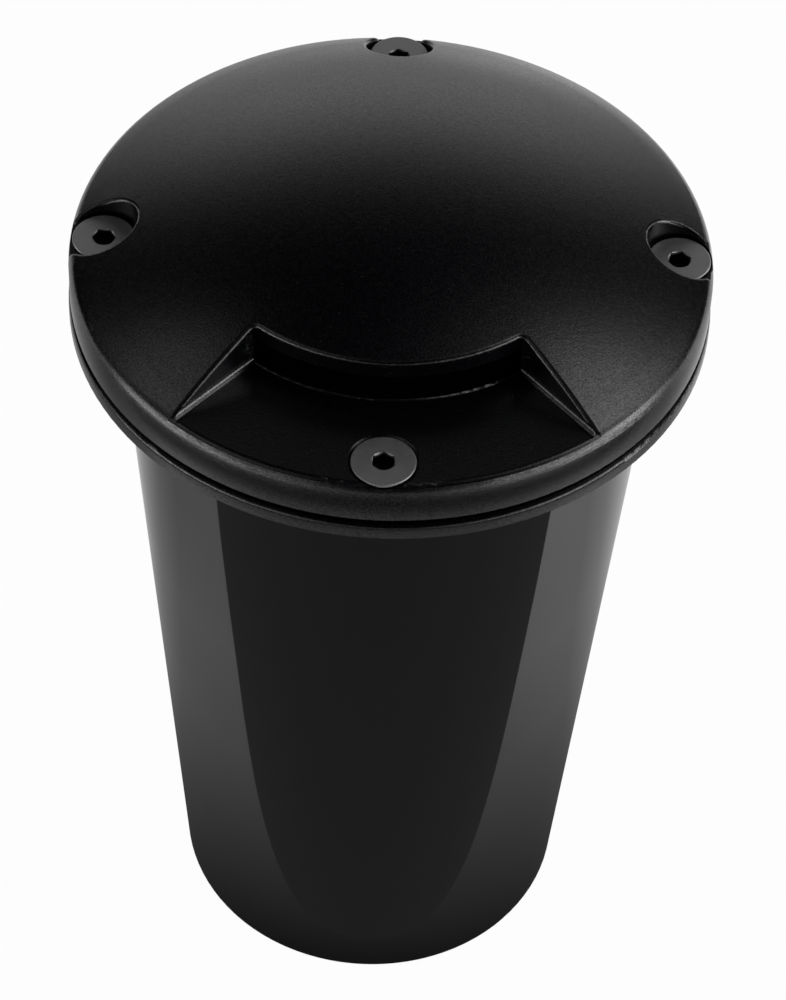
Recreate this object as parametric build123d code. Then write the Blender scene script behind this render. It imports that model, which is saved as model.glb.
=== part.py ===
from build123d import *
from math import acos, asin, cos, degrees, radians, sin, sqrt, tan
import os

# In-ground well light: a glossy tapered can that is sunk in the ground, and on it a cast
# cap, a shallow dome whose one scoop lets the light out along the ground.
# Frame: origin at the centre of the can's base, +Z up, the scoop opens towards -Y.
# Every size is in millimetres.

# ---- driving dimensions -------------------------------------------------------------
# Housing
can_height = 170.8          # base to the underside of the flange ring
can_base_radius = 42.0
can_wall = 3.0
can_floor = 3.5
can_rim_seat = 1.0          # the can's rim goes this far up into the flange ring
base_edge_round = 1.0
base_recess_depth = 1.2     # shallow recess that leaves a foot ring under the base
foot_ring_width = 6.0
flange_thickness = 3.8
flange_lip = 0.3            # the flange stands this far outside the cap
flange_top_round = 1.2
flange_bottom_round = 0.3

# Cap
cap_radius = 63.0
rim_height = 9.3            # cap edge to the scoop's floor
crest_round = 3.0           # rounding between the cap's wall and its top
crest_drop = 2.2            # centre of that rounding, below the scoop's floor
floor_edge_round = 1.2      # between the scoop's floor and the crest
cap_edge_round = 0.5
dome_radius = 130.0         # radius of the sphere that the dome is part of
shoulder_radius = 50.0      # the dome curves down more at its edge, on this radius
shoulder_turn = 3.0         # extra slope that the shoulder ends with, in degrees
shell = 3.5                 # wall of the dome, the scoop's floor and the rim
scoop_back_radius = 40.3    # the window under the dome is a cylinder of this radius
scoop_half_angle = 41.5     # each side of the scoop, from straight ahead, in degrees
scoop_apex_offset = 3.0     # where the two sides would meet, in front of the axis
scoop_side_wall = 3.0
scoop_edge_round = 0.9
scoop_corner_round = 1.0    # in plan, where the scoop's sides meet the window
scoop_foot_round = 1.2      # concave, where the scoop's sides meet its floor
window_step = 0.2           # the floor's edge, outside the dome's edge over the window
window_bead = 0.35          # small round bead on the floor's edge under the window
skirt_width = 3.0           # inner skirt, which holds the lens gasket down
skirt_step = 0.2            # its end below the cap's edge is this much smaller
rib_thickness = 2.0
rib_count = 8

# Cap screws (M6 countersunk, hexagon socket) and their inserts
screw_inset = 6.8           # screw circle, inside the cap's outer radius
screw_radius = 3.0
screw_length = 16.0         # overall, the head included
head_radius = 6.15
head_rim_height = 0.57      # cylindrical rim of the countersunk head
head_edge_round = 0.25
head_proud = 0.1            # the heads stand this far above the scoop's floor
socket_across_flats = 4.1
socket_depth = 2.6
socket_mouth = 0.25         # width of the chamfer round the socket's mouth
head_gap = 0.15             # between a head and its countersink
hole_clearance = 0.3        # round a screw's shank in the cap
front_ring = 0.27           # thin groove round the front head
front_ring_chamfer = 0.4
pocket_gap = 0.6            # groove round the other heads, in the dome's slope
pocket_edge_round = 0.7
groove_depth = 0.7          # the grooves go this far below the heads' rims
boss_radius = 7.2
insert_radius = 4.0
insert_length = 6.0
insert_sink = 0.2           # the inserts end this far below the flange's face
insert_wall = 1.2           # metal left round and below an insert
insert_fit = 0.05           # running clearance of a screw in its insert
insert_boss_chamfer = 2.2

# Cap gasket
gasket_thickness = 0.8
gasket_inset = 2.0          # the gasket's outer edge, inside the cap's
gasket_seat_gap = 0.3       # inside the gasket, to the mouth of the housing

# Lens and its gasket
lens_thickness = 5.0
lens_edge_chamfer = 0.5
lens_gasket_lip = 1.0
lens_gasket_wall = 1.8
lens_gasket_overlap = 1.8   # the gasket's lips reach this far over the glass
lens_gasket_fit = 0.2
lens_gasket_sink = 0.2      # the gasket's top, below the flange's face
ledge_width = 3.9
skirt_gap = 0.3             # from the cap's inner skirt to the lens gasket
skirt_fit = 0.5

# Lamp carrier
carrier_drop = 5.0          # carrier seats, below the lens ledge
carrier_thickness = 1.5
carrier_fit = 0.5
carrier_screw_inset = 5.0
carrier_screw_angle = 45.0
seat_width = 9.0
seat_height = 24.0          # length of the web under each carrier seat
seat_reach = 9.4            # the seats' inner edge, inside the carrier's outer edge
ear_width = 12.0
ear_depth = 15.0
pivot_drop = 9.0            # tilt axis, below the carrier seats
small_screw_radius = 1.5
small_head_radius = 2.8
small_head_height = 1.8
small_screw_length = 8.0

# Gimbal ring and lamp (50 mm reflector lamp)
lamp_radius = 25.0
lamp_length = 44.0
lamp_rim_thickness = 2.4
lamp_tail_radius = 9.0
lamp_tail_length = 12.0
lamp_neck_radius = 13.0
lamp_waist = 3.0            # the heat sink's middle, inside its widest radius
lamp_flare_gap = 0.4        # the heat sink's widest radius, inside the ring's ledge
fin_count = 20
fin_slot = 2.0
fin_slot_depth = 4.0
fin_end = 4.0               # solid metal above the slots
fin_start = 2.0             # and below them
optic_radius = 22.4
optic_thickness = 1.8
ring_fit = 0.3
ring_wall = 2.9
ring_height = 9.0
ring_ledge_drop = 1.0       # the lamp's rim seats this far below the tilt axis
ring_ledge_width = 1.6
ring_ledge_thickness = 3.0
clip_wire = 0.6             # radius of the spring ring's wire
clip_gap_angle = 40.0
pivot_boss_radius = 4.5
pivot_boss_reach = 2.5      # the ring's pivot bosses, outside the ring
pivot_gap = 0.3             # ring boss to ear
pivot_radius = 2.0
pivot_fit = 0.05
pivot_head_radius = 3.6
pivot_head_height = 2.4
washer_radius = 4.2
washer_thickness = 0.8

# Lamp holder and pins (two-pin, 5.3 mm apart)
pin_spacing = 5.3
pin_radius = 0.75
pin_length = 7.5
pin_fit = 0.1
holder_width = 18.0
holder_depth = 10.0
holder_height = 12.7
holder_gap = 0.3
lead_radius = 0.9
lead_hole_depth = 4.0
lead_fit = 0.2

# Terminal block on the housing's floor
block_width = 22.0
block_depth = 14.0
block_height = 12.0
block_offset = 8.0          # its centre, behind the axis
block_pole_spacing = 13.0
block_step = 4.0            # how much lower the block's two entry sides are
terminal_screw_radius = 1.9
terminal_screw_depth = 3.0
wire_entry_height = 5.0
lead_end = 3.0              # the leads end this far inside the block
lead_bow = 18.0             # slack of the leads, in front of the axis

# Cable gland (M12) through the back of the housing
gland_height = 28.0
gland_pad_radius = 10.5
gland_pad_proud = 1.3       # outer pad face, outside the can
gland_thread_radius = 6.0
gland_hole_fit = 0.1
gland_across_flats = 15.0
gland_washer_thickness = 1.0
gland_hex_length = 5.0
gland_thread_length = 13.0
gland_collar_radius = 5.6
gland_collar_length = 5.5
gland_nut_length = 10.0
gland_nut_wall = 1.7
gland_nut_gap = 0.2
gland_nut_end = 2.0
gland_bore_radius = 3.6
gland_lock_nut = 4.0
cable_bore_radius = 3.0     # bore of the rubber seal, for a round cable 6 mm thick
seal_length = 10.5
seal_radius = 4.6

# ---- places worked out from the driving dimensions --------------------------------------
flange_top = can_height + flange_thickness
cap_edge = flange_top + gasket_thickness
rim_top = cap_edge + rim_height
flange_radius = cap_radius + flange_lip
screw_circle = cap_radius - screw_inset
head_top = rim_top + head_proud
head_under = head_top - head_rim_height
groove_bottom = head_under - groove_depth
screw_angles = {"front": -90.0, "right": 0.0, "back": 90.0, "left": 180.0}
socket_turns = {"front": 0.0, "right": 15.0, "back": 8.0, "left": 0.0}
insert_top = flange_top - insert_sink
insert_bottom = insert_top - insert_length

seat_radius = screw_circle - insert_radius - insert_wall
can_top_radius = seat_radius + can_wall
can_top = can_height + can_rim_seat
can_slope = (can_top_radius - can_base_radius) / can_top
lens_gasket_radius = seat_radius - lens_gasket_fit
lens_gasket_height = lens_thickness + 2 * lens_gasket_lip
lens_gasket_bottom = flange_top - lens_gasket_sink - lens_gasket_height
lens_bottom = lens_gasket_bottom + lens_gasket_lip
lens_radius = lens_gasket_radius - lens_gasket_wall
ledge_radius = lens_gasket_radius - ledge_width
skirt_bottom = flange_top - lens_gasket_sink + skirt_gap
skirt_outer = seat_radius - skirt_fit
skirt_inner = skirt_outer - skirt_width

carrier_bottom = lens_gasket_bottom - carrier_drop
carrier_top = carrier_bottom + carrier_thickness
carrier_radius = ledge_radius - carrier_fit
carrier_screw_circle = carrier_radius - carrier_screw_inset
pivot_z = carrier_bottom - pivot_drop
rim_seat = pivot_z - ring_ledge_drop
rim_face = rim_seat + lamp_rim_thickness
ring_inner = lamp_radius + ring_fit
ring_outer = ring_inner + ring_wall
ring_bottom = rim_seat - ring_ledge_thickness
ring_top = ring_bottom + ring_height
ear_inner = ring_outer + pivot_boss_reach + pivot_gap
ear_outer = ear_inner + carrier_thickness
lamp_bottom = rim_face - lamp_length
holder_top = lamp_bottom - holder_gap
holder_bottom = holder_top - holder_height

big = 4 * cap_radius

base_up = (Align.CENTER, Align.CENTER, Align.MIN)


def can_radius_at(height):
    """Outer radius of the tapered can."""
    return can_base_radius + can_slope * height


# The pad's inner face lies far enough in to be flat right across.
gland_pad_face = can_radius_at(gland_height + gland_pad_radius) + gland_pad_proud
pad_wall_inside = can_radius_at(gland_height - gland_pad_radius) - can_wall
gland_pad_inner = sqrt(pad_wall_inside ** 2 - gland_pad_radius ** 2)
gland_hex_start = gland_pad_face + gland_washer_thickness
gland_hex_end = gland_hex_start + gland_hex_length
gland_end = gland_hex_end + gland_nut_gap + gland_nut_length


def on_arc(centre, radius, slope):
    """Point of a circle in the (radius, height) plane where its surface has this slope."""
    return (centre[0] + radius * sin(radians(slope)), centre[1] + radius * cos(radians(slope)))


# Centres of the cap's three arcs, each tangent to the next: crest, shoulder and dome.
crest_centre = (cap_radius - crest_round, rim_top - crest_drop)
crest_slope = degrees(asin(crest_centre[0] / (dome_radius - crest_round))) + shoulder_turn
shoulder_centre = on_arc(crest_centre, crest_round - shoulder_radius, crest_slope)
dome_slope = degrees(asin(shoulder_centre[0] / (dome_radius - shoulder_radius)))
dome_centre = on_arc(shoulder_centre, shoulder_radius - dome_radius, dome_slope)
# The small arc that ends the scoop's floor is tangent to the floor and to the crest.
floor_arc_rise = crest_drop - floor_edge_round
floor_arc_reach = crest_round - floor_edge_round
floor_arc_slope = degrees(acos(floor_arc_rise / floor_arc_reach))
floor_arc_centre = on_arc(crest_centre, floor_arc_reach, floor_arc_slope)
scoop_foot = floor_arc_centre[1]
plate_edge_radius = scoop_back_radius + window_step
pocket_radius = head_radius + pocket_gap


# ---- simple forms -----------------------------------------------------------------------
def disc(radius, bottom, top):
    return Pos(0, 0, bottom) * Cylinder(radius, top - bottom, align=base_up)


def ring(outer, inner, bottom, top):
    return disc(outer, bottom, top) - disc(inner, bottom - 1, top + 1)


def spin(points):
    """Solid turned about Z from a closed outline of (radius, height) points."""
    outline = make_face(Polyline(*points, close=True))
    return revolve(Plane.XZ * outline, Axis.Z)


def arc(centre, radius, start, end):
    """Arc in the (radius, height) plane between two slopes."""
    middle = on_arc(centre, radius, (start + end) / 2)
    return ThreePointArc(on_arc(centre, radius, start), middle, on_arc(centre, radius, end))


def block(width, depth, bottom, top, x=0.0, y=0.0):
    return Pos(x, y, bottom) * Box(width, depth, top - bottom, align=base_up)


def lying(part, height, y=0.0):
    """Lays a part built along +Z down along +Y, on the line x = 0 at the given height."""
    return Pos(0, y, height) * Rot(-90, 0, 0) * part


def hexagon(across_flats, bottom, top, turn=0.0):
    outline = RegularPolygon(across_flats / 2 / cos(radians(30)), 6)
    return Pos(0, 0, bottom) * Rot(0, 0, turn) * extrude(outline, top - bottom)


def around(part, angles, circle):
    """Copies of a part at the given angles on a circle about Z."""
    return [Rot(0, 0, angle) * Pos(circle, 0, 0) * part for angle in angles]


def together(parts):
    """One solid from a list of parts that touch or overlap."""
    whole = parts[0]
    for part in parts[1:]:
        whole = whole + part
    return whole


# ---- housing ----------------------------------------------------------------------------
def housing():
    """Tapered can with a foot ring, the lens ledge in its mouth and its cable entry."""
    ledge_bottom = lens_gasket_bottom - can_wall
    slope_bottom = ledge_bottom - (can_top_radius - can_wall - ledge_radius)
    body = fillet(rim_edge(can_outside(), can_base_radius, 0), base_edge_round)
    inside = spin([
        (0, can_floor), (can_radius_at(can_floor) - can_wall, can_floor),
        (can_radius_at(slope_bottom) - can_wall, slope_bottom),
        (ledge_radius, ledge_bottom), (ledge_radius, lens_gasket_bottom),
        (seat_radius, lens_gasket_bottom), (seat_radius, flange_top), (0, flange_top),
    ])
    pad = lying(disc(gland_pad_radius, gland_pad_inner, gland_pad_face), gland_height)
    body = body - inside + pad + carrier_seats()
    for hole in insert_holes():
        body = body - hole
    thread_hole = disc(gland_thread_radius + gland_hole_fit, gland_pad_inner - 1, gland_pad_face + 1)
    body = body - lying(thread_hole, gland_height)
    return body - disc(can_base_radius - foot_ring_width, -1, base_recess_depth)


def can_outside():
    return spin([(0, 0), (can_base_radius, 0), (can_top_radius, can_top), (0, can_top)])


def insert_holes():
    hole = disc(insert_radius, insert_bottom, flange_top + 1)
    return around(hole, screw_angles.values(), screw_circle)


def flange_ring():
    """Cast ring over the can's rim, with a boss beside the can for each thread insert."""
    body = ring(flange_radius, seat_radius, can_height, flange_top)
    body = fillet(rim_edge(body, flange_radius, flange_top), flange_top_round)
    body = fillet(rim_edge(body, flange_radius, can_height), flange_bottom_round)
    boss = disc(insert_radius + insert_wall, insert_bottom - insert_wall, flange_top - 1)
    boss = chamfer(boss.edges().sort_by(Axis.Z)[0], insert_boss_chamfer)
    for place in around(boss, screw_angles.values(), screw_circle):
        body = body + (place - disc(seat_radius, 0, big))
    for hole in insert_holes():
        body = body - hole
    return body - can_outside()


def rim_edge(part, radius, height):
    """The full circle of the given radius and height among a part's edges."""
    circles = part.edges().filter_by(GeomType.CIRCLE)
    return [
        edge for edge in circles
        if abs(edge.radius - radius) < 0.01 and abs(edge.center().Z - height) < 0.01
    ]


def carrier_seats():
    """Four webs on the can's wall whose tops carry the lamp carrier."""
    inner = carrier_radius - seat_reach
    foot = carrier_bottom - seat_height
    web = make_face(Polyline(
        (inner, carrier_bottom), (can_radius_at(carrier_bottom) - can_wall / 2, carrier_bottom),
        (can_radius_at(foot) - can_wall / 2, foot), close=True,
    ))
    seat = extrude(Plane.XZ * web, seat_width / 2, both=True)
    hole = disc(small_screw_radius, carrier_bottom - small_screw_length, carrier_bottom + 1)
    seat = seat - Pos(carrier_screw_circle, 0, 0) * hole
    return together([Rot(0, 0, carrier_screw_angle + 90 * k) * seat for k in range(4)])


def thread_inserts():
    """Four brass inserts that the cap screws turn into."""
    insert = ring(insert_radius, screw_radius + insert_fit, insert_bottom, insert_top)
    return Compound(children=around(insert, screw_angles.values(), screw_circle))


def cap_gasket():
    """Flat ring between flange and cap, seen as the dark line under the cap."""
    gasket = ring(cap_radius - gasket_inset, seat_radius + gasket_seat_gap, flange_top, cap_edge)
    hole = disc(screw_radius + hole_clearance, flange_top - 1, cap_edge + 1)
    for place in around(hole, screw_angles.values(), screw_circle):
        gasket = gasket - place
    return gasket


def lens():
    glass = disc(lens_radius, lens_bottom, lens_bottom + lens_thickness)
    return chamfer(glass.edges(), lens_edge_chamfer)


def lens_gasket():
    """Channel-shaped ring that grips the rim of the glass."""
    bottom = lens_gasket_bottom
    top = bottom + lens_gasket_height
    lip = lens_radius - lens_gasket_overlap
    return spin([
        (lens_gasket_radius, bottom), (lens_gasket_radius, top), (lip, top),
        (lip, top - lens_gasket_lip), (lens_radius, top - lens_gasket_lip),
        (lens_radius, lens_bottom), (lip, lens_bottom), (lip, bottom),
    ])


# ---- cap --------------------------------------------------------------------------------
def scoop_plan(widen=0.0, back=scoop_back_radius):
    """Plan of the scoop outside a circle, each side moved outwards by widen."""
    half = tan(radians(scoop_half_angle))
    apex = scoop_apex_offset - widen / sin(radians(scoop_half_angle))
    corners = [(0, -apex), (big * half, -apex - big), (-big * half, -apex - big)]
    plan = make_face(Polyline(*corners, close=True)) - Circle(back)
    return fillet(plan.vertices().sort_by(Axis.Y)[-2:], scoop_corner_round)


def upper_cap():
    """Crest, shoulder and dome as one turned solid."""
    foot = crest_centre[1]
    top = dome_centre[1] + dome_radius
    outline = make_face([
        Line((0, foot), (cap_radius, foot)),
        arc(crest_centre, crest_round, 90, crest_slope),
        arc(shoulder_centre, shoulder_radius, crest_slope, dome_slope),
        arc(dome_centre, dome_radius, dome_slope, 0),
        Line((0, top), (0, foot)),
    ])
    return revolve(Plane.XZ * outline, Axis.Z)


def rim():
    """The cap's wall, the scoop's floor level across it, and the inner skirt's end below."""
    skirt_end = skirt_outer - skirt_step
    outline = make_face([
        Polyline(
            (0, skirt_bottom), (skirt_end, skirt_bottom), (skirt_end, cap_edge),
            (cap_radius, cap_edge), (cap_radius, crest_centre[1]),
        ),
        arc(crest_centre, crest_round, 90, floor_arc_slope),
        arc(floor_arc_centre, floor_edge_round, floor_arc_slope, 0),
        Line((floor_arc_centre[0], rim_top), (0, rim_top)),
        Line((0, rim_top), (0, skirt_bottom)),
    ])
    body = revolve(Plane.XZ * outline, Axis.Z)
    return fillet(rim_edge(body, cap_radius, cap_edge), cap_edge_round)


def edges_over(part, outline, height):
    """A part's curved edges above a height that lie over an outline drawn at height 0."""
    found = []
    for edge in part.edges():
        points = [edge.position_at(share) for share in (0.25, 0.75)]
        away = max(outline.distance_to(Vertex(point.X, point.Y, 0)) for point in points)
        if away < 0.01 and points[0].Z > height + 0.01 and edge.geom_type != GeomType.LINE:
            found.append(edge)
    return found


def scooped_dome():
    """Dome with the scoop and the three screw pockets in its slope, their edges rounded."""
    body = upper_cap() - Pos(0, 0, scoop_foot) * extrude(scoop_plan(), big)
    body = fillet(edges_over(body, scoop_plan().wire(), scoop_foot), scoop_edge_round)
    for name in ("right", "back", "left"):
        plan = around(Circle(pocket_radius), [screw_angles[name]], screw_circle)[0]
        body = body - Pos(0, 0, groove_bottom) * extrude(plan, big)
        body = fillet(edges_over(body, plan.wire(), groove_bottom), pocket_edge_round)
    return body


def foot_fillets():
    """Concave strips along the foot of the scoop's two sides."""
    half = radians(scoop_half_angle)
    strip_plane = Plane(
        origin=(0, -scoop_apex_offset, rim_top),
        x_dir=(cos(half), -sin(half), 0), z_dir=(-sin(half), -cos(half), 0),
    )
    size = scoop_foot_round
    section = Pos(size / 2, size / 2) * Rectangle(size, size) - Pos(size, size) * Circle(size)
    strip = extrude(strip_plane * section, cap_radius) & upper_cap()
    strip = strip - disc(plate_edge_radius, 0, big)
    return [strip, mirror(strip, Plane.YZ)]


def window_edge_bead():
    bead = Torus(plate_edge_radius + window_bead / 2, window_bead)
    within = extrude(scoop_plan(0, plate_edge_radius), window_bead, both=True)
    return Pos(0, 0, rim_top) * (bead & within)


def screw_seat(groove):
    """Hole, countersink and groove for one screw, on the Z axis."""
    mouth = head_radius + head_gap
    shank = screw_radius + hole_clearance
    cone_depth = mouth - shank
    hole = disc(shank, cap_edge - 2, rim_top)
    cone = Pos(0, 0, head_under - cone_depth) * Cone(shank, mouth, cone_depth, align=base_up)
    return hole + cone + disc(head_radius + groove, groove_bottom, rim_top + big)


def front_groove_chamfer():
    radius = head_radius + front_ring
    wide = radius + front_ring_chamfer
    cone = Cone(radius, wide, front_ring_chamfer, align=base_up)
    return around(Pos(0, 0, rim_top - front_ring_chamfer) * cone, [screw_angles["front"]], screw_circle)[0]


def inner_dome(bottom):
    """Inside of the dome's shell within the outer skirt, above a height."""
    ball = Pos(0, 0, dome_centre[1]) * Sphere(dome_radius - shell)
    return ball & disc(cap_radius - shell, bottom, bottom + big)


def cap():
    """Cast cap: domed shell on a rim, with the scoop, window, skirts, bosses and ribs."""
    body = rim() + scooped_dome()
    for strip in foot_fillets():
        body = body + strip
    floor_plate = extrude(scoop_plan(scoop_side_wall, plate_edge_radius), big)
    hollow = inner_dome(cap_edge - 2) - Pos(0, 0, rim_top - shell) * floor_plate
    hollow = hollow - ring(skirt_outer, skirt_inner, skirt_bottom - shell, rim_top + big)
    boss = disc(boss_radius, cap_edge, rim_top + big)
    for place in around(boss, screw_angles.values(), screw_circle):
        hollow = hollow - place
    rib_length = cap_radius - shell - skirt_inner
    rib_middle = skirt_inner + rib_length / 2
    rib = block(rib_length, rib_thickness, cap_edge + 2, rim_top + big, x=rib_middle)
    for k in range(rib_count):
        hollow = hollow - Rot(0, 0, 360 / rib_count * (k + 0.5)) * rib
    body = body - hollow + window_edge_bead()
    for name, angle in screw_angles.items():
        groove = front_ring if name == "front" else pocket_gap
        for seat in around(screw_seat(groove), [angle], screw_circle):
            body = body - seat
    return body - front_groove_chamfer()


def cap_screw(name):
    """One countersunk screw with a hexagon socket."""
    cone_depth = head_radius - screw_radius
    shank = disc(screw_radius, head_top - screw_length, head_under - cone_depth)
    shank = chamfer(shank.edges().sort_by(Axis.Z)[0], screw_radius / 5)
    cone = Cone(screw_radius, head_radius, cone_depth, align=base_up)
    cone = Pos(0, 0, head_under - cone_depth) * cone
    head = disc(head_radius, head_under, head_top)
    head = fillet(head.edges().sort_by(Axis.Z)[-1], head_edge_round)
    mouth_radius = socket_across_flats / 2 + socket_mouth
    mouth = Pos(0, 0, head_top - mouth_radius) * Cone(0, mouth_radius, mouth_radius, align=base_up)
    socket = hexagon(socket_across_flats, head_top - socket_depth, head_top + 1, socket_turns[name])
    screw = shank + cone + head - socket - mouth
    return around(screw, [screw_angles[name]], screw_circle)[0]


# ---- lamp carrier -----------------------------------------------------------------------
def carrier_plate():
    """Stamped ring plate on the seats, with two ears bent down to the tilt axis."""
    opening = ear_outer
    plate = ring(carrier_radius, opening, carrier_bottom, carrier_top)
    for side in (1, -1):
        ear = block(
            carrier_thickness, ear_width, carrier_bottom - ear_depth, carrier_top,
            x=side * (ear_inner + ear_outer) / 2,
        )
        ear = fillet(ear.edges().filter_by(Axis.X).sort_by(Axis.Z)[:2], ear_width / 2 - 1)
        joint_width = carrier_thickness + 1.5
        joint_middle = side * (ear_inner + joint_width / 2)
        web = block(joint_width, ear_width, carrier_bottom, carrier_top, x=joint_middle)
        plate = plate + ear + web
    pivot_hole = Pos(0, 0, pivot_z) * Rot(0, 90, 0) * Cylinder(pivot_radius + pivot_fit, big)
    plate = plate - pivot_hole
    hole = disc(small_screw_radius + hole_clearance / 2, carrier_bottom - 1, carrier_top + 1)
    for place in around(hole, carrier_screw_angles(), carrier_screw_circle):
        plate = plate - place
    return plate


def carrier_screw_angles():
    return [carrier_screw_angle + 90 * k for k in range(4)]


def small_screw(length):
    """Pan-head screw whose head rests at height 0."""
    head = disc(small_head_radius, 0, small_head_height)
    head = fillet(head.edges().sort_by(Axis.Z)[-1], small_head_height / 2)
    slot = block(small_head_radius * 3, 0.8, small_head_height - 0.8, small_head_height + 1)
    return head - slot + disc(small_screw_radius, -length, 0)


def carrier_screws():
    screw = Pos(0, 0, carrier_top) * small_screw(small_screw_length)
    return Compound(children=around(screw, carrier_screw_angles(), carrier_screw_circle))


# ---- tilting lamp -----------------------------------------------------------------------
def gimbal_ring():
    """Ring that carries the lamp by its rim and turns on the two pivot screws."""
    body = spin([
        (ring_inner - ring_ledge_width, ring_bottom), (ring_outer, ring_bottom),
        (ring_outer, ring_top), (ring_inner, ring_top),
        (ring_inner, rim_seat), (ring_inner - ring_ledge_width, rim_seat),
    ])
    for side in (1, -1):
        length = ear_inner - pivot_gap - ring_inner - 1
        boss = Rot(0, 90, 0) * Cylinder(pivot_boss_radius, length)
        body = body + Pos(side * (ring_inner + 1 + length / 2), 0, pivot_z) * boss
    body = body - disc(ring_inner, rim_seat, ring_top + 1)
    groove_z = rim_face + clip_wire
    groove = Pos(0, 0, groove_z) * Torus(ring_inner, clip_wire)
    return body - groove - Pos(0, 0, pivot_z) * Rot(0, 90, 0) * Cylinder(pivot_radius, big)


def lamp_clip():
    """Open spring ring that snaps in over the lamp's rim."""
    radius = ring_inner
    start = -90 + clip_gap_angle / 2
    path = CenterArc((0, 0), radius, start, 360 - clip_gap_angle)
    section = Plane(origin=path @ 0, z_dir=path % 0) * Circle(clip_wire)
    return Pos(0, 0, rim_face + clip_wire) * sweep(section, path=path)


def pivot_screws():
    screws = []
    for side in (1, -1):
        start = ring_inner + 2 * clip_wire
        head = ear_outer + washer_thickness
        shank = Cylinder(pivot_radius, head - start)
        cap_end = Cylinder(pivot_head_radius, pivot_head_height)
        cap_end = fillet(cap_end.edges().sort_by(Axis.Z)[-1], pivot_head_height / 4)
        slot = Pos(0, 0, pivot_head_height / 2) * Box(pivot_head_radius * 3, 1.0, 1.6)
        turn = Rot(0, 90 * side, 0)
        shank = Pos(side * (start + head) / 2, 0, pivot_z) * turn * shank
        knob = Pos(side * (head + pivot_head_height / 2), 0, pivot_z) * turn * (cap_end - slot)
        screws.append(shank + knob)
    return Compound(children=screws)


def pivot_washers():
    """Plastic friction washers between the ears and the pivot screws' heads."""
    washers = []
    for side in (1, -1):
        washer = Cylinder(washer_radius, washer_thickness) - Cylinder(pivot_radius, big)
        place = Pos(side * (ear_outer + washer_thickness / 2), 0, pivot_z)
        washers.append(place * Rot(0, 90, 0) * washer)
    return Compound(children=washers)


def lamp_body():
    """Finned lamp body: rim, tapered heat sink and tail."""
    flare = lamp_radius - ring_ledge_width - lamp_flare_gap
    neck_z = lamp_bottom + lamp_tail_length
    waist_z = (neck_z + rim_seat) / 2
    profile = [
        (0, lamp_bottom), (lamp_tail_radius, lamp_bottom), (lamp_tail_radius, neck_z),
        (lamp_neck_radius, neck_z), (flare - lamp_waist, waist_z), (flare, rim_seat - 0.75 * fin_end),
        (flare, rim_seat), (lamp_radius, rim_seat), (lamp_radius, rim_face), (optic_radius, rim_face),
        (optic_radius, rim_face - optic_thickness), (0, rim_face - optic_thickness),
    ]
    body = spin(profile)
    slot_start = lamp_neck_radius - fin_slot_depth / 2
    slot_end = lamp_radius + fin_slot_depth
    slot = make_face(Polyline(
        (slot_start, neck_z + fin_start), (flare - fin_slot_depth - lamp_waist, waist_z),
        (flare - fin_slot_depth, rim_seat - fin_end), (slot_end, rim_seat - fin_end),
        (slot_end, neck_z + fin_start), close=True,
    ))
    cutter = extrude(Plane.XZ * slot, fin_slot / 2, both=True)
    for k in range(fin_count):
        body = body - Rot(0, 0, 360 / fin_count * k) * cutter
    return body


def lamp_optic():
    """Clear front of the lamp, slightly domed."""
    bottom = rim_face - optic_thickness
    glass = disc(optic_radius, bottom, rim_face)
    return chamfer(glass.edges().sort_by(Axis.Z)[-1], 0.4)


def lamp_pins():
    pin = disc(pin_radius, lamp_bottom - pin_length, lamp_bottom)
    return Compound(children=[Pos(side * pin_spacing / 2, 0, 0) * pin for side in (1, -1)])


def lamp_holder():
    """Ceramic two-pin holder with its contact holes above and its lead holes below."""
    body = block(holder_width, holder_depth, holder_bottom, holder_top)
    body = fillet(body.edges().filter_by(Axis.Z), holder_depth / 2 - 0.6)
    for side in (1, -1):
        contact = disc(pin_radius + pin_fit, lamp_bottom - pin_length - 0.5, holder_top + 1)
        lead = disc(lead_radius + lead_fit, holder_bottom - 1, holder_bottom + lead_hole_depth)
        body = body - Pos(side * pin_spacing / 2, 0, 0) * contact
        body = body - Pos(side * pin_spacing / 2, 0, 0) * lead
    return body


# ---- wiring -----------------------------------------------------------------------------
def terminal_block():
    """Two-pole block on the floor: stepped sides, wire entries and screw wells."""
    top = can_floor + block_height
    body = block(block_width, block_depth, can_floor, top, y=block_offset)
    for side in (1, -1):
        step = block(block_width + 2, block_step * 2, top - block_step, top + 1,
                     y=block_offset + side * (block_depth / 2))
        body = body - step
    for pole in (1, -1):
        x = pole * block_pole_spacing / 2
        tunnel = disc(lead_radius + lead_fit, -block_depth, block_depth)
        entry = lying(tunnel, can_floor + wire_entry_height)
        body = body - Pos(x, block_offset, 0) * entry
        well = disc(terminal_screw_radius + 0.2, top - terminal_screw_depth, top + 1)
        body = body - Pos(x, block_offset, 0) * well
    hole = disc(small_screw_radius + 0.2, can_floor - 1, top + 1)
    head_well = disc(small_head_radius + 0.3, top - small_head_height - 1.2, top + 1)
    return body - Pos(0, block_offset, 0) * (hole + head_well)


def terminal_screws():
    """The block's two clamping screws and the screw that fixes it to the floor."""
    top = can_floor + block_height
    screw = disc(terminal_screw_radius, top - terminal_screw_depth, top - 0.6)
    slot = block(terminal_screw_radius * 3, 0.7, top - 1.4, top)
    screws = [Pos(pole * block_pole_spacing / 2, block_offset, 0) * (screw - slot) for pole in (1, -1)]
    seat = top - small_head_height - 1.2
    screws.append(Pos(0, block_offset, seat) * small_screw(seat - can_floor))
    return Compound(children=screws)


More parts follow.
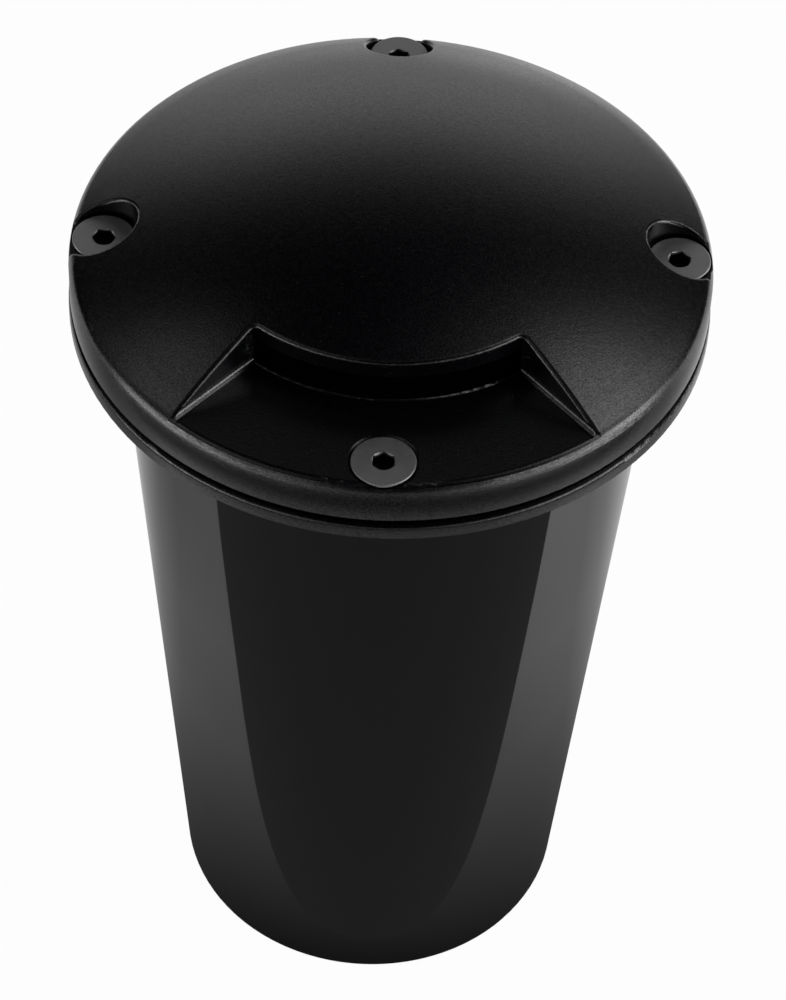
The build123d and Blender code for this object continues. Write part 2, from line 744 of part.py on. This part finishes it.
def lead_wires():
    """Two leads from the lamp holder down to the terminal block, with slack for the tilt."""
    wires = []
    entry = can_floor + wire_entry_height
    drop = holder_bottom - entry
    near_face = block_offset - block_depth / 2
    top_x = pin_spacing / 2
    end_x = block_pole_spacing / 2
    for side in (1, -1):
        path = Spline(
            (side * top_x, 0, holder_bottom + 0.85 * lead_hole_depth),
            (side * top_x, 0, holder_bottom - lead_hole_depth),
            (side * (0.5 * top_x + 0.5 * end_x), -0.7 * lead_bow, entry + 0.6 * drop),
            (side * (0.1 * top_x + 0.9 * end_x), -lead_bow, entry + 0.2 * drop),
            (side * end_x, near_face - block_offset, entry),
            (side * end_x, near_face + lead_end, entry),
            tangents=[(0, 0, -1), (0, 1, 0)],
        )
        section = Plane(origin=path @ 0, z_dir=path % 0) * Circle(lead_radius)
        wires.append(sweep(section, path=path))
    return Compound(children=wires)


# ---- cable gland ------------------------------------------------------------------------
def gland_body():
    """Threaded body: inner thread, hexagon and the collar that the clamping nut screws on."""
    thread_start = gland_hex_start - gland_thread_length
    body = disc(gland_thread_radius, thread_start, gland_hex_start)
    body = body + hexagon(gland_across_flats, gland_hex_start, gland_hex_end)
    collar_end = gland_hex_end + gland_collar_length
    body = body + disc(gland_collar_radius, gland_hex_end, collar_end)
    body = body - disc(gland_bore_radius, thread_start - 1, collar_end + 1)
    seal_start = gland_end - gland_nut_end - seal_length
    body = body - disc(seal_radius, seal_start, collar_end + 1)
    return lying(body, gland_height)


def gland_washer():
    washer = ring(gland_across_flats / 2, gland_thread_radius, gland_pad_face, gland_hex_start)
    return lying(washer, gland_height)


def gland_lock_nut_ring():
    bottom = gland_pad_inner - gland_lock_nut
    nut = hexagon(gland_across_flats, bottom, gland_pad_inner)
    nut = nut - disc(gland_thread_radius, 0, gland_pad_face)
    return lying(nut, gland_height)


def gland_seal():
    """Rubber sleeve that the clamping nut squeezes onto the cable."""
    end = gland_end - gland_nut_end
    seal = ring(seal_radius, cable_bore_radius, end - seal_length, end)
    return lying(seal, gland_height)


def gland_nut():
    """Domed hexagonal clamping nut."""
    start = gland_hex_end + gland_nut_gap
    flats = start + gland_nut_length * 0.6
    body = hexagon(gland_across_flats, start, flats) & disc(gland_across_flats / 2 + 0.7, start, flats)
    cone_height = gland_end - flats
    cone_end = seal_radius + gland_nut_wall - 0.6
    cone = Cone(gland_across_flats / 2 - 0.3, cone_end, cone_height, align=base_up)
    body = body + Pos(0, 0, flats) * cone
    body = body - disc(gland_collar_radius, start - 1, gland_hex_end + gland_collar_length)
    body = body - disc(seal_radius, start, gland_end - gland_nut_end)
    body = body - disc(gland_bore_radius, start, gland_end + 1)
    return lying(body, gland_height)


# ---- write the nodes --------------------------------------------------------------------
def all_nodes():
    nodes = {
        "housing": housing(),
        "flange_ring": flange_ring(),
        "thread_inserts": thread_inserts(),
        "cap_gasket": cap_gasket(),
        "lens": lens(),
        "lens_gasket": lens_gasket(),
        "carrier_plate": carrier_plate(),
        "carrier_screws": carrier_screws(),
        "gimbal_ring": gimbal_ring(),
        "lamp_clip": lamp_clip(),
        "pivot_screws": pivot_screws(),
        "pivot_washers": pivot_washers(),
        "lamp_body": lamp_body(),
        "lamp_optic": lamp_optic(),
        "lamp_pins": lamp_pins(),
        "lamp_holder": lamp_holder(),
        "terminal_block": terminal_block(),
        "terminal_screws": terminal_screws(),
        "lead_wires": lead_wires(),
        "gland_body": gland_body(),
        "gland_washer": gland_washer(),
        "gland_lock_nut": gland_lock_nut_ring(),
        "gland_seal": gland_seal(),
        "gland_nut": gland_nut(),
        "cap": cap(),
    }
    for name in screw_angles:
        nodes["cap_screw_" + name] = cap_screw(name)
    return nodes


os.makedirs("parts", exist_ok=True)
for name, part in all_nodes().items():
    export_step(part, "parts/" + name + ".step")
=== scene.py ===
from math import cos, radians, sin

import bpy
from mathutils import Matrix, Vector

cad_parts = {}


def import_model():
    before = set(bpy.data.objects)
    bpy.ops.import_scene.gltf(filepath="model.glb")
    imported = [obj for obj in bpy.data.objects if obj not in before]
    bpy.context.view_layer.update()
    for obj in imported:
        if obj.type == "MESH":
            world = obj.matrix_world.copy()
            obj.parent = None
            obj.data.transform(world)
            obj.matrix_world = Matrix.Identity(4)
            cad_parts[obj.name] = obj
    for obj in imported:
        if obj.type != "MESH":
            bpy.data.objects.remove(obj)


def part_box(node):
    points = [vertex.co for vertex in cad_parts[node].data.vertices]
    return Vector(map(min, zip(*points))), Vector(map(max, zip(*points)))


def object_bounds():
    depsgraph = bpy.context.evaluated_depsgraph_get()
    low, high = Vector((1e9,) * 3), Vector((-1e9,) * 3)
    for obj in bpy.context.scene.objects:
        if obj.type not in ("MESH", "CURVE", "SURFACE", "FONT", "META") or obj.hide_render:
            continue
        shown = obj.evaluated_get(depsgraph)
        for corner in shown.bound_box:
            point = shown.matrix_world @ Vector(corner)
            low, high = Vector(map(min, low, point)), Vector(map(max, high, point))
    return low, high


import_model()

cad_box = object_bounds()

# ---- the photograph's camera ------------------------------------------------------------
PHOTO_WIDTH = 786
PHOTO_HEIGHT = 1000
FOCAL_PIXELS = 3642.5           # focal length in pixels of the photograph
SENSOR_WIDTH = 36.0
CLIP_START = 0.01
CAMERA_PLACE = Vector((0.00234, -0.50921, 0.68304))
CAMERA_DOWN = radians(48.33)    # how far the camera looks down
CAMERA_ROLL = radians(2.45)     # the object leans a little to the right in the photograph
CAMERA_TURN = radians(-0.3)     # how far the camera stands round to the object's right

# ---- the object's finish ----------------------------------------------------------------
RIM_FOOT = 0.170                # height, just under the flange, from which the rim's places count
RIM_SPAN = 0.02                 # height above it that is place 1
FLANGE_LEAN = 0.1               # how far the flange's wall leans back just under its rounded edge
WALL_LEAN = 0.32                # the same for the cap's wall just under its rounded crest
TURNING = 26000.0               # fineness of the turned rings on a screw's head, in radians per metre
SOCKET_SPAN = 0.002             # depth in a screw's socket that is place 1 of its painted shade

# ---- the set ----------------------------------------------------------------------------
FLOOR_HALF = 3.0
FLOOR_DROP = 0.0002             # how far the floor lies below the can's foot
FLOOR_GREY = 0.8                # what the floor reflects, under its own glow
FLOOR_GLOW = 0.975              # share of plain white that the floor shows to the camera
BOX_ASIDE = 0.75                # the softboxes' places: beside, behind and above the object
BOX_BEHIND = 0.10
BOX_HEIGHT = 1.15
BOX_SIZE = (0.5, 0.4)
BOX_POWERS = {"left_box": 0.3, "right_box": 0.6}

# What reflections show of the floor is painted light and shade, as (place, level) stops where it varies.
# Behind an edge in front of the axis it glows as if lit, with painted shade close to the object and
# painted light brighter on the right.
DARK_EDGE = 0.0485              # how far in front of the axis that edge lies
DARK_LEAN = 0.02                # how much further in front it lies on the left, per metre
BACK_START = -0.25              # distance behind the axis that is place 0
BACK_SPAN = 0.5                 # how much further behind place 1 is
BACK_LEVELS = [(0.41, 0.55), (0.53, 0.36), (0.60, 0.38), (0.70, 0.6), (0.80, 0.8), (0.95, 1.0)]
CLOSE_SPAN = 0.2                # radius that is place 1
CLOSE_LEVELS = [(0.21, 0.10), (0.30, 0.35), (0.42, 0.75), (0.55, 1.0)]
BACK_LEVEL = 0.92               # share of those levels on the left and in the middle
RIGHT_EDGE = 0.075              # how far right of the axis that share starts to grow
RIGHT_SLOPE = 14.0              # how fast it grows, as shares of the gain per metre
RIGHT_GAIN = 0.5                # how much it grows in all
# In front of that edge it is painted dark, with a painted ring of light at some distance round the object
# and a bright painted far part. Their levels change from straight in front, at place 0, to the sides, at
# place 1.
DARK_FLOOR = 0.115
RING_SPAN = 0.5                 # radius that is place 1
RING_LEVELS = [(0.33, 0.0), (0.39, 0.9), (0.49, 0.9), (0.58, 0.4), (0.75, 0.1), (1.0, 0.04)]
RING_ROUND = [(0.1, 0.55), (0.5, 1.0)]
FAR_FLOOR = 0.95                # the far part begins at this radius
FAR_LEVEL = 7.0
FAR_ROUND = [(0.0, 0.1), (0.16, 0.3), (0.5, 0.95), (1.0, 0.8)]

# The room, as reflections show it: soft patches of light, each with its degrees round from straight
# behind the object towards the right, degrees above the floor, how sharply it fades, and radiance.
ROOM = [
    (-17, 0, 25, 0.33), (0, 0, 25, 0.22), (17, 0, 25, 0.33),
    (-17, 18, 25, 0.62), (0, 18, 25, 0.38), (17, 18, 25, 0.6), (0, 36, 25, 0.04),
    (-85, 40, 25, 0.5), (85, 40, 25, 2.2), (85, 60, 25, 0.5), (-125, 45, 25, 0.55), (180, 60, 16, 0.07),
    (-100, 4, 60, 4.0), (-125, 4, 60, 2.0), (-150, 4, 60, 1.2),
    (150, 4, 60, 0.8), (125, 4, 60, 3.5), (100, 8, 45, 9.0),
]


# ---- node helpers -----------------------------------------------------------------------
def rgb(red, green, blue):
    """An opaque colour."""
    return (red, green, blue, 1.0)


def node_tree(name):
    """A new material with an empty node tree."""
    material = bpy.data.materials.new(name)
    material.use_nodes = True
    tree = material.node_tree
    tree.nodes.clear()
    return material, tree


def add(tree, kind, **settings):
    """Adds a node and sets its attributes."""
    node = tree.nodes.new(kind)
    for key, value in settings.items():
        setattr(node, key, value)
    return node


def feed(tree, value, socket):
    """Links an output socket to an input socket, or gives that a plain value."""
    if isinstance(value, bpy.types.NodeSocket):
        tree.links.new(value, socket)
    else:
        socket.default_value = value


def calc(tree, operation, *values, clamp=False):
    """Math node fed by sockets or plain numbers; returns its result."""
    node = add(tree, "ShaderNodeMath", operation=operation, use_clamp=clamp)
    for value, socket in zip(values, node.inputs):
        feed(tree, value, socket)
    return node.outputs[0]


def total(tree, values):
    """Sum of sockets and plain numbers."""
    result = values[0]
    for value in values[1:]:
        result = calc(tree, "ADD", result, value)
    return result


def share(tree, value, start, span):
    """Where a value lies in a span: 0 at its start, 1 at its end."""
    return calc(tree, "MULTIPLY", calc(tree, "SUBTRACT", value, start), 1 / span)


def vector(tree, operation, *values):
    """Vector math node fed by sockets or plain vectors; returns its result."""
    node = add(tree, "ShaderNodeVectorMath", operation=operation)
    for value, socket in zip(values, node.inputs):
        feed(tree, value, socket)
    return node.outputs["Value" if operation in ("LENGTH", "DOT_PRODUCT") else "Vector"]


def coordinates(tree):
    """Object coordinates, as one vector and as its X, Y and Z."""
    place = add(tree, "ShaderNodeTexCoord").outputs["Object"]
    split = add(tree, "ShaderNodeSeparateXYZ")
    feed(tree, place, split.inputs[0])
    return place, split.outputs


def ramp(tree, value, stops):
    """Grey ramp through (place, level) stops."""
    node = add(tree, "ShaderNodeValToRGB")
    elements = node.color_ramp.elements
    while len(elements) > 1:
        elements.remove(elements[0])
    elements[0].position, first = stops[0]
    elements[0].color = rgb(first, first, first)
    for place, level in stops[1:]:
        elements.new(place).color = rgb(level, level, level)
    feed(tree, value, node.inputs[0])
    return node.outputs[0]


def mixed(tree, factor, first, second, blend="MIX"):
    """Colour between two colours or sockets, by a factor."""
    node = add(tree, "ShaderNodeMix", data_type="RGBA", blend_type=blend)
    feed(tree, factor, node.inputs[0])
    feed(tree, first, node.inputs[6])
    feed(tree, second, node.inputs[7])
    return node.outputs[2]


def noise(tree, scale, detail, stretch=(1.0, 1.0, 1.0)):
    """Noise in object space, whose scale is in cells per metre."""
    place = add(tree, "ShaderNodeTexCoord").outputs["Object"]
    mapping = add(tree, "ShaderNodeMapping")
    feed(tree, stretch, mapping.inputs["Scale"])
    feed(tree, place, mapping.inputs["Vector"])
    texture = add(tree, "ShaderNodeTexNoise")
    feed(tree, scale, texture.inputs["Scale"])
    feed(tree, detail, texture.inputs["Detail"])
    feed(tree, mapping.outputs["Vector"], texture.inputs["Vector"])
    return texture.outputs["Fac"]


def bump(tree, height, distance, strength, before=None):
    """Relief of a height in metres, on top of the normal before it."""
    node = add(tree, "ShaderNodeBump")
    feed(tree, strength, node.inputs["Strength"])
    feed(tree, distance, node.inputs["Distance"])
    feed(tree, height, node.inputs["Height"])
    if before is not None:
        feed(tree, before, node.inputs["Normal"])
    return node.outputs["Normal"]


def surface(tree, **sockets):
    """Principled surface and output, from the values or sockets that its own sockets take."""
    shader = add(tree, "ShaderNodeBsdfPrincipled")
    output = add(tree, "ShaderNodeOutputMaterial")
    for key, value in sockets.items():
        feed(tree, value, shader.inputs[key.replace("_", " ")])
    feed(tree, shader.outputs[0], output.inputs["Surface"])


# ---- materials of the object ------------------------------------------------------------
def gloss_black_plastic():
    """The can: polished black moulding with the faint waviness of a moulded wall."""
    material, tree = node_tree("can")
    waves = noise(tree, scale=28.0, detail=1.0, stretch=(1.0, 1.0, 0.45))
    haze = noise(tree, scale=240.0, detail=4.0)
    surface(
        tree, Base_Color=rgb(0.0020, 0.0020, 0.0022), IOR=1.6,
        Roughness=ramp(tree, haze, [(0.35, 0.015), (0.75, 0.045)]),
        Normal=bump(tree, waves, distance=0.00035, strength=0.5),
    )
    return material


def rim_height(tree):
    """Place up the flange and the cap's rim."""
    parts = coordinates(tree)[1]
    return share(tree, parts["Z"], RIM_FOOT, RIM_SPAN)


def barrel(tree):
    """Surface normal that leans up towards the top of the upright walls of the flange and the cap."""
    lean = ramp(tree, rim_height(tree), [
        (0.06, 0.0), (0.17, FLANGE_LEAN), (0.20, 0.0), (0.29, 0.0), (0.62, WALL_LEAN), (0.70, 0.0),
    ])
    up = add(tree, "ShaderNodeCombineXYZ")
    feed(tree, lean, up.inputs["Z"])
    normal = add(tree, "ShaderNodeNewGeometry").outputs["Normal"]
    return vector(tree, "NORMALIZE", vector(tree, "ADD", normal, up.outputs[0]))


def black_powder_coat():
    """The cap and flange ring: fine-grained black powder coat, with painted shade that dulls its sheen where
    the two meet.
    """
    material, tree = node_tree("cap_coat")
    grain = noise(tree, scale=2400.0, detail=1.0)
    blotch = noise(tree, scale=900.0, detail=3.0)
    specks = noise(tree, scale=1700.0, detail=0.0)
    tone = noise(tree, scale=3600.0, detail=0.0)
    tone_mask = ramp(tree, tone, [(0.35, 0.0), (0.65, 1.0)])
    speck_mask = ramp(tree, specks, [(0.80, 0.0), (0.84, 1.0)])
    deep = mixed(tree, tone_mask, rgb(0.0, 0.0002, 0.0012), rgb(0.0026, 0.0028, 0.0038))
    sheen = ramp(tree, tone, [(0.3, 0.32), (0.7, 0.68)])
    # Painted shade: the sheen drops in a band where the cap's edge meets the flange ring.
    seam_shade = ramp(tree, rim_height(tree), [(0.195, 1.0), (0.215, 0.1), (0.275, 0.1), (0.29, 1.0)])
    surface(
        tree, Base_Color=mixed(tree, speck_mask, deep, rgb(0.016, 0.016, 0.017)), IOR=1.5,
        Roughness=ramp(tree, blotch, [(0.3, 0.22), (0.7, 0.27)]),
        Specular_IOR_Level=calc(tree, "MULTIPLY", sheen, seam_shade),
        Normal=bump(tree, grain, distance=0.00002, strength=1.0, before=barrel(tree)),
    )
    return material


def dark_steel(name, centre, top):
    """A cap screw: dark satin steel with faint turning rings, and painted shade darkening its socket."""
    material, tree = node_tree("dark_steel_" + name)
    place, parts = coordinates(tree)
    outwards = vector(tree, "MULTIPLY", vector(tree, "SUBTRACT", place, centre), (1.0, 1.0, 0.0))
    rings = calc(tree, "SINE", calc(tree, "MULTIPLY", vector(tree, "LENGTH", outwards), TURNING))
    patches = noise(tree, scale=1100.0, detail=3.0)
    grain = noise(tree, scale=6000.0, detail=2.0)
    tone = mixed(tree, patches, rgb(0.32, 0.32, 0.325), rgb(0.38, 0.38, 0.385))
    # Painted shade: the colour darkens with depth in the socket.
    shade = ramp(tree, share(tree, parts["Z"], top, -SOCKET_SPAN), [(0.2, 1.0), (0.45, 0.05)])
    turned = bump(tree, rings, distance=0.000002, strength=0.5)
    surface(
        tree, Base_Color=mixed(tree, 1.0, tone, shade, blend="MULTIPLY"), Metallic=1.0,
        Roughness=ramp(tree, patches, [(0.3, 0.46), (0.7, 0.54)]),
        Normal=bump(tree, grain, distance=0.000004, strength=0.4, before=turned),
    )
    return material


def black_rubber():
    """The seals: matt black silicone."""
    material, tree = node_tree("seal")
    grain = noise(tree, scale=3000.0, detail=2.0)
    shade = noise(tree, scale=200.0, detail=3.0)
    surface(
        tree, Base_Color=mixed(tree, shade, rgb(0.004, 0.004, 0.004), rgb(0.008, 0.008, 0.008)),
        Roughness=0.75, Normal=bump(tree, grain, distance=0.00003, strength=0.5),
    )
    return material


def clear_glass():
    """The toughened lens: slightly green, with faint roller waves."""
    material, tree = node_tree("lens_glass")
    waves = noise(tree, scale=30.0, detail=0.0)
    surface(
        tree, Base_Color=rgb(0.90, 0.96, 0.93), Roughness=0.02, IOR=1.52,
        Transmission_Weight=1.0, Normal=bump(tree, waves, distance=0.0001, strength=0.3),
    )
    return material


def frosted_glass():
    """The lamp's front: pale glass with a frosted grain."""
    material, tree = node_tree("lamp_front")
    grain = noise(tree, scale=2500.0, detail=2.0)
    surface(
        tree, Base_Color=rgb(0.95, 0.95, 0.90), Roughness=0.35, IOR=1.5,
        Transmission_Weight=0.7, Normal=bump(tree, grain, distance=0.00008, strength=0.6),
    )
    return material


def metal(name, dark, light, smooth, rough, stretch=(1.0, 1.0, 1.0), relief=0.00001):
    """Plain metal with brushed or cast grain, its tone and roughness between two levels."""
    material, tree = node_tree(name)
    tone = noise(tree, scale=350.0, detail=4.0, stretch=stretch)
    grain = noise(tree, scale=4000.0, detail=2.0, stretch=stretch)
    surface(
        tree, Base_Color=mixed(tree, tone, dark, light), Metallic=1.0,
        Roughness=ramp(tree, tone, [(0.3, smooth), (0.7, rough)]),
        Normal=bump(tree, grain, distance=relief, strength=0.6),
    )
    return material


def moulded(name, dark, light, roughness):
    """Moulded plastic or ceramic with a fine surface grain."""
    material, tree = node_tree(name)
    tone = noise(tree, scale=160.0, detail=4.0)
    grain = noise(tree, scale=2800.0, detail=2.0)
    surface(
        tree, Base_Color=mixed(tree, tone, dark, light), Roughness=roughness,
        Normal=bump(tree, grain, distance=0.00002, strength=0.6),
    )
    return material


def stainless():
    """The carrier, the gimbal ring and their screws: brushed stainless steel."""
    return metal(
        "stainless", rgb(0.50, 0.50, 0.51), rgb(0.62, 0.62, 0.63),
        smooth=0.22, rough=0.38, stretch=(1.0, 8.0, 1.0),
    )


def brass():
    """The inserts, the lamp's pins and the terminals' screws."""
    return metal("brass", rgb(0.62, 0.45, 0.20), rgb(0.75, 0.57, 0.28), smooth=0.25, rough=0.4)


def cast_aluminium():
    """The lamp's finned body."""
    return metal(
        "lamp_metal", rgb(0.60, 0.60, 0.61), rgb(0.70, 0.70, 0.71), smooth=0.35, rough=0.5, relief=0.00003,
    )


def black_nylon():
    """The cable gland."""
    return moulded("gland", rgb(0.010, 0.010, 0.010), rgb(0.018, 0.018, 0.018), roughness=0.45)


def natural_nylon():
    """The terminal block and the pivots' washers."""
    return moulded("nylon", rgb(0.70, 0.69, 0.65), rgb(0.78, 0.77, 0.73), roughness=0.5)


def ceramic():
    """The lamp holder."""
    return moulded("ceramic", rgb(0.76, 0.73, 0.66), rgb(0.84, 0.82, 0.76), roughness=0.35)


def wire_cover():
    """The leads' silicone insulation."""
    return moulded("lead_cover", rgb(0.62, 0.60, 0.56), rgb(0.70, 0.68, 0.64), roughness=0.55)


def dress(node, material):
    """Gives every material slot of a node of the frame this material."""
    mesh = bpy.data.objects[node].data
    if not mesh.materials:
        mesh.materials.append(material)
    for index in range(len(mesh.materials)):
        mesh.materials[index] = material


def dress_all():
    """Gives every node of the frame its material, and each cap screw one of its own."""
    looks = [
        (gloss_black_plastic(), ["housing"]),
        (black_powder_coat(), ["cap", "flange_ring"]),
        (black_rubber(), ["cap_gasket", "lens_gasket", "gland_washer", "gland_seal"]),
        (clear_glass(), ["lens"]),
        (frosted_glass(), ["lamp_optic"]),
        (stainless(), ["carrier_plate", "carrier_screws", "gimbal_ring", "lamp_clip", "pivot_screws"]),
        (brass(), ["thread_inserts", "lamp_pins", "terminal_screws"]),
        (cast_aluminium(), ["lamp_body"]),
        (black_nylon(), ["gland_body", "gland_lock_nut", "gland_nut"]),
        (natural_nylon(), ["terminal_block", "pivot_washers"]),
        (ceramic(), ["lamp_holder"]),
        (wire_cover(), ["lead_wires"]),
    ]
    for material, nodes in looks:
        for node in nodes:
            dress(node, material)
    for side in ("front", "right", "back", "left"):
        node = "cap_screw_" + side
        low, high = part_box(node)
        centre = (Vector(low) + Vector(high)) / 2
        dress(node, dark_steel(side, centre, high[2]))


# ---- floor, world, lamps, camera --------------------------------------------------------
def painted_floor_behind(tree, parts, radius):
    """Painted light of the lit part of the floor in reflections, with painted shade close to the object."""
    back = ramp(tree, share(tree, parts["Y"], BACK_START, BACK_SPAN), BACK_LEVELS)
    close = ramp(tree, share(tree, radius, 0.0, CLOSE_SPAN), CLOSE_LEVELS)
    beyond = calc(tree, "SUBTRACT", parts["X"], RIGHT_EDGE)
    rightwards = calc(tree, "MULTIPLY", beyond, RIGHT_SLOPE, clamp=True)
    level = calc(tree, "ADD", calc(tree, "MULTIPLY", rightwards, RIGHT_GAIN), BACK_LEVEL)
    return calc(tree, "MULTIPLY", back, calc(tree, "MULTIPLY", close, level))


def painted_floor_ahead(tree, parts, radius):
    """Painted level of the dark part of the floor in reflections, with its painted ring of light and bright
    far part.
    """
    round_to_side = calc(tree, "ADD", calc(tree, "DIVIDE", parts["Y"], radius), 1.0)
    ring = ramp(tree, share(tree, radius, 0.0, RING_SPAN), RING_LEVELS)
    ring = calc(tree, "MULTIPLY", ring, ramp(tree, round_to_side, RING_ROUND))
    far = calc(tree, "MULTIPLY", calc(tree, "GREATER_THAN", radius, FAR_FLOOR), FAR_LEVEL)
    far = calc(tree, "MULTIPLY", far, ramp(tree, round_to_side, FAR_ROUND))
    return total(tree, [ring, far, DARK_FLOOR])


def painted_floor_light(tree):
    """Painted light and shade of the floor, as reflections show it."""
    place, parts = coordinates(tree)
    radius = vector(tree, "LENGTH", place)
    edge = calc(tree, "ADD", parts["Y"], calc(tree, "MULTIPLY", parts["X"], -DARK_LEAN))
    behind = calc(tree, "GREATER_THAN", edge, -DARK_EDGE)
    ahead = calc(tree, "SUBTRACT", 1.0, behind)
    return total(tree, [
        calc(tree, "MULTIPLY", behind, painted_floor_behind(tree, parts, radius)),
        calc(tree, "MULTIPLY", ahead, painted_floor_ahead(tree, parts, radius)),
    ])


def floor():
    """Floor that is white to the camera, with a light shadow, and shows painted light and shade in
    reflections.
    """
    bpy.ops.mesh.primitive_plane_add(size=2 * FLOOR_HALF, location=(0, 0, -FLOOR_DROP))
    plane = bpy.context.object
    plane.name = "floor"
    material, tree = node_tree("floor")
    rays = add(tree, "ShaderNodeLightPath").outputs
    # Reflections see the floor's painted light and shade; the camera sees plain white.
    reflected = calc(tree, "MULTIPLY", calc(tree, "SUBTRACT", 1.0, rays["Is Camera Ray"]), painted_floor_light(tree))
    light = add(tree, "ShaderNodeEmission")
    feed(tree, calc(tree, "ADD", rays["Is Camera Ray"], reflected), light.inputs["Strength"])
    paper = add(tree, "ShaderNodeBsdfDiffuse")
    feed(tree, rgb(FLOOR_GREY, FLOOR_GREY, FLOOR_GREY), paper.inputs["Color"])
    seen = calc(tree, "MAXIMUM", rays["Is Camera Ray"], rays["Is Glossy Ray"])
    seen = calc(tree, "MAXIMUM", seen, rays["Is Transmission Ray"])
    mix = add(tree, "ShaderNodeMixShader")
    output = add(tree, "ShaderNodeOutputMaterial")
    feed(tree, calc(tree, "MULTIPLY", seen, FLOOR_GLOW), mix.inputs[0])
    feed(tree, paper.outputs[0], mix.inputs[1])
    feed(tree, light.outputs[0], mix.inputs[2])
    feed(tree, mix.outputs[0], output.inputs["Surface"])
    plane.data.materials.append(material)


def lobe(tree, direction, turn, rise, sharpness, level):
    """Soft patch of light in the room, brightest at its middle."""
    towards = Vector((sin(turn) * cos(rise), cos(turn) * cos(rise), sin(rise))).normalized()
    near = calc(tree, "MAXIMUM", vector(tree, "DOT_PRODUCT", direction, towards), 0.0)
    return calc(tree, "MULTIPLY", calc(tree, "POWER", near, sharpness), level)


def world():
    """White to the camera; to the object a dark room with soft patches of light."""
    scene = bpy.context.scene
    scene.world = bpy.data.worlds.new("room")
    scene.world.use_nodes = True
    tree = scene.world.node_tree
    tree.nodes.clear()
    direction = add(tree, "ShaderNodeTexCoord").outputs["Generated"]
    patches = [
        lobe(tree, direction, radians(turn), radians(rise), sharpness, level)
        for turn, rise, sharpness, level in ROOM
    ]
    rays = add(tree, "ShaderNodeLightPath").outputs
    mix = add(tree, "ShaderNodeMixShader")
    output = add(tree, "ShaderNodeOutputWorld")
    feed(tree, rays["Is Camera Ray"], mix.inputs[0])
    for colour, socket in ((total(tree, patches), mix.inputs[1]), (rgb(1.0, 1.0, 1.0), mix.inputs[2])):
        background = add(tree, "ShaderNodeBackground")
        feed(tree, colour, background.inputs["Color"])
        feed(tree, background.outputs[0], socket)
    feed(tree, mix.outputs[0], output.inputs["Surface"])


def softbox(name, place, target, power):
    """Rectangular lamp aimed at a point."""
    data = bpy.data.lights.new(name, "AREA")
    data.shape = "RECTANGLE"
    data.size, data.size_y = BOX_SIZE
    data.energy = power
    lamp = bpy.data.objects.new(name, data)
    lamp.location = place
    lamp.rotation_euler = (Vector(target) - Vector(place)).to_track_quat("-Z", "Y").to_euler()
    bpy.context.scene.collection.objects.link(lamp)


def lamps():
    """One softbox on each side, aimed at the top of the cap."""
    head = (0, 0, cad_box[1][2])
    for side, (name, power) in zip((-1, 1), BOX_POWERS.items()):
        softbox(name, (side * BOX_ASIDE, BOX_BEHIND, BOX_HEIGHT), head, power)


def camera():
    """The photograph's camera, turned round the object's axis and rolled as fitted to it."""
    data = bpy.data.cameras.new("camera")
    data.sensor_fit = "AUTO"
    data.sensor_width = SENSOR_WIDTH
    data.lens = FOCAL_PIXELS * SENSOR_WIDTH / max(PHOTO_WIDTH, PHOTO_HEIGHT)
    data.clip_start = CLIP_START
    view = bpy.data.objects.new("camera", data)
    look = Matrix.Rotation(radians(90) - CAMERA_DOWN, 4, "X")
    roll = Matrix.Rotation(CAMERA_ROLL, 4, "Z")
    stand = Matrix.Rotation(CAMERA_TURN, 4, "Z")
    view.matrix_world = stand @ Matrix.Translation(CAMERA_PLACE) @ look @ roll
    bpy.context.scene.collection.objects.link(view)
    bpy.context.scene.camera = view


dress_all()
floor()
world()
lamps()
camera()
bpy.context.scene.view_settings.view_transform = "Standard"
